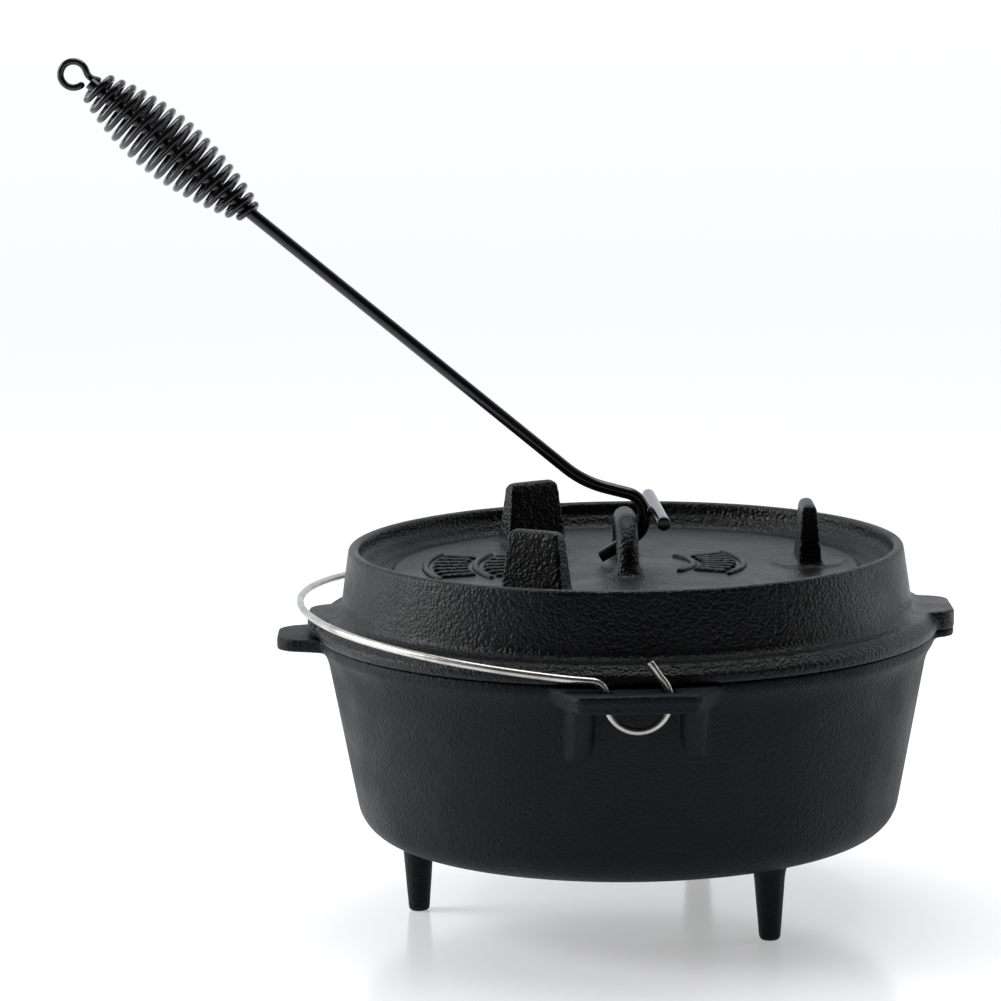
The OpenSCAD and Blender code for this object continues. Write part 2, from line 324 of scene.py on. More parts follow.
def hang(piece: bpy.types.Object, body: str, slot: Slot, finish: bpy.types.Material,
         stands_for: Sequence[str] = ()) -> bpy.types.Object:
    """Dresses a piece, puts it on its body and reports it.

    Args:
        piece: The finished object.
        body: The CAD body that it moves with.
        slot: The record's material slot; it is not used.
        finish: Its material.
        stands_for: The CAD nodes that it replaces.

    Returns:
        The same object.
    """
    piece.data.materials.clear()
    piece.data.materials.append(finish)
    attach(piece, body)
    if stands_for:
        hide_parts(*stands_for)
    count = sum(len(face.vertices) - 2 for face in piece.data.polygons)
    LOG.info("%s on %s: %d triangles, %s", piece.name, body, count, finish.name)
    return piece


# ---------------------------------------------------------------- finishes


def linear(colour: str) -> tuple[float, float, float, float]:
    """The linear RGBA of an sRGB hex colour such as "#1e1f22"."""
    parts = [int(colour[i:i + 2], 16) / 255 for i in (1, 3, 5)]
    values = [p / 12.92 if p <= 0.04045 else ((p + 0.055) / 1.055) ** 2.4 for p in parts]
    return (*values, 1.0)


def add_node(tree: bpy.types.NodeTree, kind: str, settings: dict | None = None,
             links: dict | None = None) -> bpy.types.Node:
    """Adds a node with its settings and links.

    Args:
        tree: The node tree.
        kind: The node's type.
        settings: Input sockets by name or number with their values, and attributes of the node.
        links: Input sockets by name or number with the output sockets that feed them.

    Returns:
        The new node.
    """
    node = tree.nodes.new(kind)
    for key, value in (settings or {}).items():
        if isinstance(key, str) and hasattr(node, key):
            setattr(node, key, value)
        else:
            node.inputs[key].default_value = value
    for key, source in (links or {}).items():
        tree.links.new(source, node.inputs[key])
    return node


def ramp(tree: bpy.types.NodeTree, source: bpy.types.NodeSocket,
         stops: Sequence[tuple[float, tuple[float, float, float, float]]]) -> bpy.types.Node:
    """A colour ramp through the stops, fed by source."""
    node = add_node(tree, "ShaderNodeValToRGB", links={"Fac": source})
    elements = node.color_ramp.elements
    elements[0].position, elements[0].color = stops[0]
    elements[1].position, elements[1].color = stops[-1]
    for position, colour in stops[1:-1]:
        elements.new(position).color = colour
    return node


def new_material(name: str, **settings: object) -> tuple[bpy.types.Material, bpy.types.NodeTree,
                                                        bpy.types.Node, bpy.types.NodeSocket]:
    """A material with one Principled shader.

    Args:
        name: The material's name.
        settings: Values for the shader's sockets, with underscores for the spaces in their names.

    Returns:
        The material, its tree, the shader, and the output that gives Object coordinates.
    """
    material = bpy.data.materials.new(name)
    material.use_nodes = True
    tree = material.node_tree
    shader = tree.nodes["Principled BSDF"]
    for key, value in settings.items():
        shader.inputs[key.replace("_", " ")].default_value = value
    place = add_node(tree, "ShaderNodeTexCoord").outputs["Object"]
    return material, tree, shader, place


@dataclass(frozen=True)
class SandCastIron:
    """Grey cast iron poured in green sand and seasoned with oil.

    The sand leaves a pebbled skin, and the baked oil makes it near black with a broken satin
    shine. It is dielectric: the eye sees the oil film, not the metal.
    """

    name: str
    dark: str
    light: str
    grain_mm: float
    depth_mm: float
    roughness: tuple[float, float]
    gloss: float

    def material(self) -> bpy.types.Material:
        """The finish as a material."""
        material, tree, shader, place = new_material(self.name, IOR=1.5, Specular_IOR_Level=self.gloss)
        pebbles = add_node(tree, "ShaderNodeTexVoronoi",
                           {"feature": "SMOOTH_F1", "Scale": 1 / (self.grain_mm * MM), "Smoothness": 0.6},
                           {"Vector": place})
        pits = add_node(tree, "ShaderNodeTexNoise",
                        {"Scale": 0.55 / (self.grain_mm * MM), "Detail": 3.0, "Roughness": 0.6},
                        {"Vector": place})
        patches = add_node(tree, "ShaderNodeTexNoise", {"Scale": 1 / (38 * MM), "Detail": 4.0},
                           {"Vector": place})
        skin = add_node(tree, "ShaderNodeMath", {"operation": "MULTIPLY_ADD", 1: -0.7},
                        {0: pebbles.outputs["Distance"], 2: pits.outputs["Fac"]})
        bump = add_node(tree, "ShaderNodeBump", {"Strength": 1.0, "Distance": self.depth_mm * MM},
                        {"Height": skin.outputs[0]})
        tone = add_node(tree, "ShaderNodeMath", {"operation": "MULTIPLY_ADD", 1: 0.45},
                        {0: pits.outputs["Fac"], 2: patches.outputs["Fac"]})
        colour = ramp(tree, tone.outputs[0], [(0.45, linear(self.dark)), (0.95, linear(self.light))])
        low, high = self.roughness
        shine = add_node(tree, "ShaderNodeMapRange",
                         {"From Min": 0.35, "From Max": 0.65, "To Min": low, "To Max": high},
                         {"Value": patches.outputs["Fac"]})
        tree.links.new(colour.outputs["Color"], shader.inputs["Base Color"])
        tree.links.new(shine.outputs["Result"], shader.inputs["Roughness"])
        tree.links.new(bump.outputs["Normal"], shader.inputs["Normal"])
        return material


@dataclass(frozen=True)
class DrawnSteelWire:
    """Bright steel wire, drawn through a die.

    The die leaves fine scratches, so the shine is satin, and handling dulls it in patches.
    """

    name: str = "drawn_steel_wire"
    bright: str = "#c3c2bd"
    dull: str = "#a4a29c"
    scratch_mm: float = 0.5

    def material(self) -> bpy.types.Material:
        """The finish as a material."""
        material, tree, shader, place = new_material(self.name, Metallic=1.0)
        marks = add_node(tree, "ShaderNodeTexNoise", {"Scale": 1 / (self.scratch_mm * MM), "Detail": 2.0},
                         {"Vector": place})
        patches = add_node(tree, "ShaderNodeTexNoise", {"Scale": 1 / (16 * MM), "Detail": 3.0},
                           {"Vector": place})
        colour = ramp(tree, patches.outputs["Fac"], [(0.3, linear(self.dull)), (0.62, linear(self.bright))])
        shine = add_node(tree, "ShaderNodeMapRange", {"To Min": 0.16, "To Max": 0.42},
                         {"Value": marks.outputs["Fac"]})
        bump = add_node(tree, "ShaderNodeBump", {"Strength": 0.3, "Distance": 0.02 * MM},
                        {"Height": marks.outputs["Fac"]})
        tree.links.new(colour.outputs["Color"], shader.inputs["Base Color"])
        tree.links.new(shine.outputs["Result"], shader.inputs["Roughness"])
        tree.links.new(bump.outputs["Normal"], shader.inputs["Normal"])
        return material


@dataclass(frozen=True)
class BlackEnamel:
    """Stoved black enamel on steel rod.

    It is glossy and smooth, with the faint orange peel of a sprayed coat.
    """

    name: str = "black_enamel"
    colour: str = "#0b0b0d"
    worn: str = "#141417"
    peel_mm: float = 1.6

    def material(self) -> bpy.types.Material:
        """The finish as a material."""
        material, tree, shader, place = new_material(self.name, IOR=1.52)
        peel = add_node(tree, "ShaderNodeTexNoise", {"Scale": 1 / (self.peel_mm * MM), "Detail": 1.0},
                        {"Vector": place})
        patches = add_node(tree, "ShaderNodeTexNoise", {"Scale": 1 / (20 * MM), "Detail": 3.0},
                           {"Vector": place})
        colour = ramp(tree, patches.outputs["Fac"], [(0.4, linear(self.colour)), (0.7, linear(self.worn))])
        shine = add_node(tree, "ShaderNodeMapRange", {"To Min": 0.1, "To Max": 0.26},
                         {"Value": patches.outputs["Fac"]})
        bump = add_node(tree, "ShaderNodeBump", {"Strength": 0.35, "Distance": 0.05 * MM},
                        {"Height": peel.outputs["Fac"]})
        tree.links.new(colour.outputs["Color"], shader.inputs["Base Color"])
        tree.links.new(shine.outputs["Result"], shader.inputs["Roughness"])
        tree.links.new(bump.outputs["Normal"], shader.inputs["Normal"])
        return material


# ---------------------------------------------------------------- the pot


@dataclass
class Pot:
    """The pot, cast in one: leaning wall, rounded base, three feet, two bail ears and two lugs."""

    rim_z: float
    ear_front: float
    finish: bpy.types.Material
    rim_r: float = 172.0
    foot_h: float = 42.5
    wall: float = 5.0
    floor: float = 6.0
    lean: float = 10.6
    base_fillet: float = 21.5
    band: float = 6.0
    flare: float = 12.0
    foot_circle_r: float = 119.5
    foot_tip_r: float = 5.9
    foot_root_r: float = 8.9
    foot_turn: float = 68.0
    ear_t: float = 10.0
    ear_half_w: float = 34.5
    ear_corner: float = 6.0
    gusset_w: float = 14.0
    gusset_drop: float = 32.0
    gusset_round: float = 0.42
    hole_r: float = 5.5
    hole_x: float = 16.7
    hole_y: float = 179.0
    lug_t: float = 7.0
    lug_half_w: float = 25.0
    lug_corner: float = 14.0
    left_lug_reach: float = 23.4
    right_lug_reach: float = 10.5
    right_lug_t: float = 4.0

    def wall_r(self, z: float) -> float:
        """Radius of the outer wall at height z."""
        foot_r = self.rim_r - 2 - (self.rim_z - self.foot_h) * tan(radians(self.lean))
        return foot_r + (z - self.foot_h) * tan(radians(self.lean))

    def base_arc(self, inset: float, z: float, radius: float) -> Outline:
        """The rounding between a floor at height z and a wall that stands inset from the outer one."""
        middle = z + radius
        x = self.wall_r(middle) - (inset + radius) / cos(radians(self.lean))
        return arc((x, middle), radius, -90, -self.lean, 16)

    def shell(self) -> BMesh:
        """The wall and floor."""
        band_z = self.rim_z - self.band
        flare_z = band_z - self.flare
        knee = self.wall_r(flare_z), flare_z
        inner_r = self.wall_r(self.rim_z) - self.wall / cos(radians(self.lean))
        outline = [(0.0, self.foot_h)]
        outline += self.base_arc(0, self.foot_h, self.base_fillet)
        outline += ease(knee, (self.wall_r(flare_z + 7), flare_z + 7), (self.rim_r, band_z), 8)
        outline += arc((self.rim_r - 1.5, self.rim_z - 1.5), 1.5, 0, 90, 5)
        outline += arc((inner_r + 1.5, self.rim_z - 1.5), 1.5, 90, 180, 5)
        outline += self.base_arc(self.wall, self.foot_h + self.floor, self.base_fillet - self.wall)[::-1]
        outline += [(0.0, self.foot_h + self.floor)]
        return lathe(outline)

    def foot(self, angle: float) -> BMesh:
        """One foot: a tapered peg that spreads where it meets the base."""
        top = self.foot_h + self.floor / 2
        spread = 2.6
        outline = [(0.0, 0.0)]
        outline += arc((self.foot_tip_r - 1.2, 1.2), 1.2, -90, -10, 5)
        outline += ease((self.foot_root_r - 0.5, self.foot_h - 9), (self.foot_root_r, self.foot_h - 2),
                        (self.foot_root_r + spread, top), 6)
        outline += [(0.0, top)]
        return turned(lathe(outline, 48), Matrix.Translation(polar(self.foot_circle_r, angle)))

    def tab(self, angle: float, root: float, tip: float, root_half_w: float, tip_half_w: float,
            corner: float, bottom: float, top: float, holes: Sequence[Outline] = ()) -> BMesh:
        """A plate that stands out from the wall.

        Args:
            angle: Direction that it points in, in degrees from +X.
            root: Radius of its hidden inner edge.
            tip: Radius of its outer edge.
            root_half_w: Half of its width at the root.
            tip_half_w: Half of its width at the tip.
            corner: Radius of its corners.
            bottom: Height of its underside.
            top: Height of its upper face.
            holes: Outlines of its holes, for a plate that points along +X.

        Returns:
            The closed plate.
        """
        outline = [(root, -root_half_w)]
        outline += arc((tip - corner, corner - tip_half_w), corner, -80, 0, 8)
        outline += arc((tip - corner, tip_half_w - corner), corner, 0, 80, 8)
        outline += [(root, root_half_w)]
        return turned(slab(outline, bottom, top, holes), about_z(angle))

    def gusset(self, angle: float, across: float, reach: float, width: float, top: float,
               drop: float) -> BMesh:
        """A web that backs a plate from below.

        Args:
            angle: Direction that it points in.
            across: How far it stands to the side of that direction.
            reach: Radius of its outer edge at the top.
            width: Its width.
            top: Height of its upper edge.
            drop: How far it runs down the wall.

        Returns:
            The closed web.
        """
        root = self.wall_r(top - drop) - self.wall / 2
        outline = [(root, top - drop), (root + 2.6, top - drop)]
        outline += ease((root + 5, top - drop + 3), (root + 0.55 * (reach - root), top - 11),
                        (reach - 3, top), 10)
        outline += [(root, top)]
        web = slab(outline, -width / 2, width / 2)
        front = [e for e in web.edges if all(v.co.x > root + 1 for v in e.verts)
                 and abs(e.verts[0].co.z - e.verts[1].co.z) < 0.01
                 and abs(e.verts[0].co.z) > width / 2 - 0.01]
        bmesh.ops.bevel(web, geom=front, offset=self.gusset_round * width, offset_type="OFFSET",
                        segments=4, profile=0.5, affect="EDGES", material=-1)
        upright = Matrix.Translation((0, across, 0)) @ Matrix.Rotation(pi / 2, 4, "X")
        return turned(web, about_z(angle) @ upright)

    def ear(self, angle: float) -> list[BMesh]:
        """One bail ear, with the step of the mould's parting line round its edge."""
        top = self.rim_z - 1
        parting = top - self.ear_t * 0.48
        root = self.wall_r(top - self.ear_t) - self.wall / 2
        holes = [arc((self.hole_y, x), self.hole_r, 0, 345, 23) for x in (-self.hole_x, self.hole_x)]
        root_half_w = self.ear_half_w + 11
        step = 1.0
        plates = [
            self.tab(angle, root, self.ear_front, root_half_w, self.ear_half_w,
                     self.ear_corner, parting, top, holes),
            self.tab(angle, root, self.ear_front - step, root_half_w - step, self.ear_half_w - step,
                     self.ear_corner, top - self.ear_t, parting + 0.01, holes)]
        webs = [self.gusset(angle, side * (self.ear_half_w - 4.5), self.ear_front - 5,
                            self.gusset_w, top - self.ear_t + 1, self.gusset_drop) for side in (-1, 1)]
        return plates + webs

    def lug(self, angle: float, reach: float, thick: float) -> BMesh:
        """One lifting lug."""
        bottom = self.rim_z - thick - 0.5
        root = self.wall_r(bottom) - self.wall / 2
        return self.tab(angle, root, self.rim_r + reach, self.lug_half_w + 6, self.lug_half_w,
                        self.lug_corner, bottom, bottom + thick)

    def build(self) -> None:
        """Casts the pot and puts it in place."""
        shapes = [self.shell(), *(self.foot(self.foot_turn + 120 * k) for k in range(3))]
        shapes += [*self.ear(90), *self.ear(270)]
        shapes += [self.lug(180, self.left_lug_reach, self.lug_t)]
        shapes += [self.lug(0, self.right_lug_reach, self.right_lug_t)]
        casting = cast_in_one("pot_casting", shapes, 1.25, 4)
        hang(casting, "pot", Slot.POT, self.finish, ["pot"])


# ---------------------------------------------------------------- the lid


@dataclass
class Lid:
    """The lid, cast in one: flange, raised rim, deck, three legs and a lifting loop."""

    pot: Pot
    finish: bpy.types.Material
    seat_gap: float = 0.2
    height: float = 47.5
    deck_drop: float = 12.5
    thick: float = 5.5
    flange_over: float = 2.0
    flange_t: float = 6.5
    lip_play: float = 1.2
    lip_h: float = 4.0
    moat: float = 2.2
    left_tab_reach: float = 6.0
    right_tab_reach: float = 10.5
    tab_half_w: float = 28.0
    leg_h: float = 35.0
    leg_circle_r: float = 102.0
    leg_root_w: float = 39.0
    leg_root_t: float = 14.0
    loop_h: float = 31.0
    loop_bar_r: float = 6.3
    loop_span: float = 66.0
    loop_bend_r: float = 20.0

    @property
    def seat_z(self) -> float:
        """Height of the flange's underside."""
        return self.pot.rim_z + self.seat_gap

    @property
    def deck_z(self) -> float:
        """Height of the deck."""
        return self.pot.rim_z + self.height - self.deck_drop

    @property
    def foot_r(self) -> float:
        """Radius of the lid's wall where it meets the flange."""
        return self.pot.rim_r - 12.7

    @property
    def top_r(self) -> float:
        """Radius of the lid's wall at its upper rim."""
        return self.pot.rim_r - 17

    def shell(self) -> BMesh:
        """Flange, wall, rim and deck."""
        top_z = self.pot.rim_z + self.height
        deck_z, seat_z, foot_r, top_r = self.deck_z, self.seat_z, self.foot_r, self.top_r
        flange_r = self.pot.rim_r + self.flange_over
        inner_r = (self.pot.wall_r(self.pot.rim_z) - self.pot.wall / cos(radians(self.pot.lean))
                   - self.lip_play)
        moat_r = top_r - 16
        deck_r = moat_r - 9
        moat_z = deck_z - self.moat
        rim_in = top_r - 6
        under = deck_z - self.thick
        outline = [(0.0, deck_z), (deck_r - 1.6, deck_z)]
        outline += ease((deck_r - 1, deck_z), (deck_r, deck_z), (deck_r + 0.6, moat_z), 3)
        outline += ease((moat_r, moat_z), (rim_in - 4.5, moat_z), (rim_in - 2.6, deck_z + 3.4), 6)
        outline += ease((rim_in - 1.4, deck_z + 4.2), (rim_in - 0.4, deck_z + 4.6),
                        (rim_in, top_z - 4), 4)
        outline += arc((rim_in + 2.5, top_z - 2.5), 2.5, 170, 90, 6)
        outline += arc((top_r - 2, top_z - 2), 2, 90, 5, 6)
        outline += ease((foot_r, seat_z + 15.5), (foot_r + 0.3, seat_z + 12), (foot_r + 4.5, seat_z + 11), 6)
        outline += ease((foot_r + 9, seat_z + 10.2), (foot_r + 10.2, seat_z + 9.9),
                        (foot_r + 10.6, seat_z + 8.8), 3)
        outline += arc((flange_r - 2.5, seat_z + self.flange_t - 2.5), 2.5, 66, 0, 5)
        outline += [(flange_r, seat_z + 0.8), (flange_r - 0.8, seat_z), (inner_r, seat_z)]
        outline += [(inner_r - 0.5, seat_z - self.lip_h), (inner_r - 5, seat_z - self.lip_h)]
        outline += [(foot_r - self.thick, seat_z + 10)]
        outline += ease((top_r + 1 - self.thick, under - 12), (top_r - self.thick, under - self.moat),
                        (moat_r - 2, under - self.moat), 6)
        outline += [(deck_r - 4, under - self.moat), (deck_r - 7, under), (0.0, under)]
        return lathe(outline)

    def leg(self, angle: float) -> list[BMesh]:
        """One leg, which is a foot when the lid is turned over, on its low round pad."""
        fin = bmesh.new()
        bottom, top = self.deck_z - 3, self.deck_z + self.leg_h
        bmesh.ops.create_cube(fin, size=1.0)
        bmesh.ops.scale(fin, vec=(self.leg_root_t, self.leg_root_w, top - bottom), verts=fin.verts)
        bmesh.ops.translate(fin, vec=(0, 0, (top + bottom) / 2), verts=fin.verts)
        upper = [v for v in fin.verts if v.co.z > self.deck_z]
        bmesh.ops.scale(fin, vec=(8 / self.leg_root_t, 30 / self.leg_root_w, 1), verts=upper)
        crown = [e for e in fin.edges if all(v.co.z > self.deck_z for v in e.verts)]
        bmesh.ops.bevel(fin, geom=crown, offset=3.4, offset_type="OFFSET", segments=2, profile=0.5,
                        affect="EDGES", material=-1)
        place = about_z(angle) @ Matrix.Translation((self.leg_circle_r, 0, 0))
        pad = lathe([(0.0, self.deck_z - 2), (21.5, self.deck_z - 2), (21.5, self.deck_z + 0.6),
                     (20.2, self.deck_z + 1.5), (0.0, self.deck_z + 1.5)], 64)
        return [turned(tidy(fin), place), turned(pad, place)]

    def loop(self) -> BMesh:
        """The lifting loop, whose bar spreads at both feet."""
        foot = self.loop_span / 2
        top = self.deck_z + self.loop_h - self.loop_bar_r
        bend = arc((foot - self.loop_bend_r, top - self.loop_bend_r), self.loop_bend_r, 0, 90, 12)
        rise = [(foot, self.deck_z + h) for h in (-2, 1, 3, 5, 8)]
        spread = [4.2, 3.2, 2.0, 1.1, 0.3] + [0.0] * len(bend)
        half = [Vector((0, y, z)) for y, z in rise + bend]
        other = [Vector((0, -p.y, p.z)) for p in reversed(half)]
        radii = [self.loop_bar_r + s for s in spread]
        return bar(half + other, radii + radii[::-1], 32)

    def tab(self, angle: float, reach: float) -> BMesh:
        """The plate over one of the pot's lugs, level with the flange's inner edge."""
        return self.pot.tab(angle, self.foot_r + 3, self.pot.rim_r + reach, self.tab_half_w + 3,
                            self.tab_half_w, self.pot.lug_corner, self.seat_z,
                            self.seat_z + self.flange_t + 4)

    def relief(self) -> BMesh:
        """Raised ornament on the deck: plain arcs, and plain bars that fan out between them."""
        z = self.deck_z + 0.1
        rib_r = 1.9

        def curved(radius: float, start: float, end: float) -> BMesh:
            """A rib along an arc about the lid's middle."""
            steps = max(4, round(radius * radians(abs(end - start)) / 2))
            angles = [start + (end - start) * i / steps for i in range(steps + 1)]
            return bar([polar(radius, a, z) for a in angles], rib_r, 12, End.ROUND)

        def spoke(angle: float, inner: float, outer: float) -> BMesh:
            """A rib that points away from the lid's middle."""
            steps = 6
            line = [polar(inner + (outer - inner) * i / steps, angle, z) for i in range(steps + 1)]
            return bar(line, rib_r, 12, End.ROUND)

        ribs = [curved(radius, 180 - half, 180 + half) for radius, half in ((46, 34), (84, 26), (112, 22))]
        ribs += [spoke(180 + a, 52, 78) for a in range(-24, 25, 8)]
        ribs += [spoke(180 + a, 90, 106) for a in range(-18, 19, 6)]
        ribs += [curved(38, -40, 40), curved(66, -32, 32)]
        ribs += [spoke(a, 44, 60) for a in range(-28, 29, 8)]
        return together(ribs)

    def build(self) -> None:
        """Casts the lid and puts it in place."""
        shapes = [self.shell(), self.loop(), self.tab(0, self.right_tab_reach),
                  self.tab(180, self.left_tab_reach)]
        for k in range(3):
            shapes += self.leg(120 * k)
        casting = cast_in_one("lid_casting", shapes, 1.1, 4)
        hang(casting, "lid", Slot.LID, self.finish, ["lid"])
        hang(finished("lid_relief", self.relief()), "lid", Slot.LID, self.finish)


# ---------------------------------------------------------------- the bail


@dataclass
class Bail:
    """The wire bail: a bow that lies round the lid, and an end ring through each ear."""

    pot: Pot
    finish: bpy.types.Material
    wire_r: float = 2.0
    ring_r: float = 16.7
    bow_r: float = 182.3
    lift: float = 10.5
    rest: float = 5.0
    bend_r: float = 9.0

    def end_ring(self, side: int) -> list[Vector]:
        """The wire from its free tip, through the ear's outer hole, to the bend out of the inner one."""
        y = side * self.pot.hole_y
        pivot_z = self.pot.rim_z - 1 - self.pot.ear_t / 2
        bend = self.bend_r - 1
        bend_x = 1 - self.ring_r - self.bend_r
        start = Vector((6.6, y, pivot_z + 19.8))
        ring = [Vector((self.ring_r * cos(radians(a)), y, pivot_z + self.ring_r * sin(radians(a))))
                for a in range(46, -181, -4)]
        out = [Vector((bend_x + bend * cos(radians(a)), side * (self.pot.hole_y + 0.6 * a / 85),
                       pivot_z + self.lift - bend + bend * sin(radians(a)))) for a in range(0, 86, 6)]
        first = [start.lerp(ring[0], t) for t in (0, 0.5)]
        return first + ring + out

    def bow(self) -> list[Vector]:
        """The wire from one ear to the other, round the left of the lid."""
        bend_x = 1 - self.ring_r - self.bend_r
        height = self.pot.rim_z - 1 - self.pot.ear_t / 2 + self.lift
        first = 90 - math.degrees(math.asin(-bend_x / self.bow_r)) - 3
        steps = 96
        line = []
        for i in range(steps + 1):
            a = radians(first - 2 * first * i / steps)
            x = -self.bow_r * cos(a)
            line.append(Vector((x, -self.bow_r * sin(a), height + (bend_x - x) * tan(radians(self.rest)))))
        return line

    def build(self) -> None:
        """Bends the bail and puts it in place."""
        line = self.end_ring(-1) + self.bow() + self.end_ring(1)[::-1]
        wire = finished("bail_wire", bar(line, self.wire_r, 20))
        hang(wire, "bail", Slot.BAIL, self.finish, ["bail"])


# ---------------------------------------------------------------- the lid lifter


@dataclass
class Lifter:
    """The lid lifter: a hooked rod with a crossbar, and a coil grip that ends in a hanging eye."""

    lid: Lid
    finish: bpy.types.Material
    rod_r: float = 3.4
    rod_len: float = 351.0
    slope: float = 40.0
    hook_r: float = 12.0
    hook_x: float = -1.2
    hook_drop: float = 2.8
    neck_slope: float = 15.0
    neck_len: float = 25.8
    neck_bend: float = 13.0
    tip_angle: float = -60.0
    tip_len: float = 21.6
    bar_len: float = 104.0
    bar_r: float = 3.8
    bar_angle: float = 11.0
    bar_turn: float = 2.4
    grip_len: float = 106.0
    grip_r: float = 18.8
    wire_r: float = 1.9
    turns: int = 17
    eye_r: float = 7.2
    eye_drop: float = 2.0
    eye_open: int = -165
    eye_end: int = 125
    eye_lead: float = 5.0
    coil_start: float = 60.0
    tail_len: float = 5.0
    end_play: float = 1.9
    squeeze: float = 0.1

    def __post_init__(self) -> None:
        """Works out the hook's middle and the rod's two ends."""
        loop_top = self.lid.deck_z + self.lid.loop_h
        self.hook = Vector((self.hook_x, 0, loop_top - self.lid.loop_bar_r + 1.5))
        self.shoulder = self.hook + Vector((0, 0, self.hook_drop))
        neck = radians(self.neck_slope)
        self.neck_up = Vector((-cos(neck), 0, sin(neck)))
        self.neck_end = self.shoulder + self.hook_r * Vector((sin(neck), 0, cos(neck)))
        self.neck_start = self.neck_end + self.neck_len * self.neck_up
        slope = radians(self.slope)
        self.up = Vector((-cos(slope), 0, sin(slope)))
        self.side = Vector((sin(slope), 0, cos(slope)))
        self.rod_end = self.neck_start + self.rod_len * self.up

    def rod(self) -> BMesh:
        """The rod: straight, bent at the neck, round over the loop, and back under it."""
        bend_start = self.neck_start + self.neck_bend * self.up
        bend_end = self.neck_start - self.neck_bend * self.neck_up
        steps = 30
        line = [self.rod_end.lerp(bend_start, i / steps) for i in range(steps)]
        line += [Vector((x, 0, z)) for x, z in ease(
            (bend_start.x, bend_start.z), (self.neck_start.x, self.neck_start.z),
            (bend_end.x, bend_end.z), 14)]
        curve = arc((self.shoulder.x, self.shoulder.z), self.hook_r, 90 - self.neck_slope, 0, 24)
        curve += arc((self.hook.x, self.hook.z), self.hook_r, 0, self.tip_angle, 20)
        line += [Vector((x, 0, z)) for x, z in curve]
        tip = radians(self.tip_angle)
        end = line[-1]
        line += [end + self.tip_len * t * Vector((sin(tip), 0, -cos(tip))) for t in (0.25, 0.5, 0.75, 1.0)]
        return bar(line, self.rod_r, 32)

    def crossbar(self) -> list[BMesh]:
        """The bar across the hook, with the weld that holds it."""
        reach = self.hook_r + self.rod_r + self.bar_r - 0.4
        angle = radians(self.bar_angle)
        out = Vector((cos(angle), 0, sin(angle)))
        bend = self.hook + Vector((0, 0, self.hook_drop / 2))
        middle = bend + reach * out
        along = about_z(self.bar_turn) @ Vector((0, self.bar_len / 2 - 0.6, 0))
        line = [(middle - along).lerp(middle + along, i / 24) for i in range(25)]
        seam = bend + (self.hook_r + self.rod_r - 0.5) * out
        weld = bmesh.new()
        bmesh.ops.create_icosphere(weld, subdivisions=4, radius=1.0)
        shape = (Matrix.Translation(seam) @ Matrix.Rotation(-angle, 4, "Y")
                 @ Matrix.Diagonal((1.8, 4.6, 3.6, 1)))
        return [bar(line, self.bar_r, 40), turned(weld, shape)]

    def swell(self, t: float) -> float:
        """Radius of the winding's middle line at the share t of its length."""
        end_r = self.rod_r + self.wire_r + self.end_play
        bulge = self.grip_r - self.wire_r - end_r
        return end_r + bulge * max(0.0, sin(pi * t ** 0.93)) ** 0.9

    def around(self, angle: float, radius: float, down: float) -> Vector:
        """A point that far down from the winding's top, at that radius and angle round the rod."""
        top = self.rod_end - 2 * self.up
        outwards = cos(radians(angle)) * self.side + sin(radians(angle)) * Vector((0, 1, 0))
        return top - down * self.up + radius * outwards

    def grip(self) -> BMesh:
        """The coil grip: an open eye, the winding, and a tail that grips the rod, all of one wire."""
        eye = self.rod_end + (self.eye_r + self.wire_r + 1) * self.up - self.eye_drop * self.side
        line = [eye + self.eye_r * (cos(radians(b)) * self.up + sin(radians(b)) * self.side)
                for b in range(self.eye_open, self.eye_end + 1, 10)]
        leave = radians(self.eye_end)
        pull = line[-1] + self.eye_lead * (cos(leave) * self.side - sin(leave) * self.up)
        first = self.around(self.coil_start, self.swell(0), 0)
        line += [line[-1] * (1 - t) ** 2 + pull * (2 * t * (1 - t)) + first * t ** 2
                 for t in (0.15, 0.3, 0.45, 0.6, 0.75, 0.9)]
        per_turn = 32
        steps = self.turns * per_turn
        line += [self.around(self.coil_start + 360 * i / per_turn, self.swell(i / steps),
                             self.grip_len * i / steps) for i in range(steps + 1)]
        wide = self.rod_r + self.wire_r + self.end_play
        snug = self.rod_r + self.wire_r - self.squeeze
        line += [self.around(self.coil_start + 360 * (self.turns + i / per_turn),
                             wide + (snug - wide) * min(1, 2 * i / per_turn),
                             self.grip_len + self.tail_len * i / per_turn) for i in range(1, per_turn + 1)]
        return bar(line, self.wire_r, 14, End.ROUND)

    def build(self) -> None:
        """Makes the three pieces and puts them in place."""
        for name, shapes, node in (("lifter_rod_steel", [self.rod()], "lifter_rod"),
                                   ("lifter_crossbar_steel", self.crossbar(), "lifter_crossbar"),
                                   ("lifter_coil_grip", [self.grip()], "lifter_grip")):
            hang(finished(name, together(shapes)), "lifter", Slot.LIFTER, self.finish, [node])


# ---------------------------------------------------------------- the studio


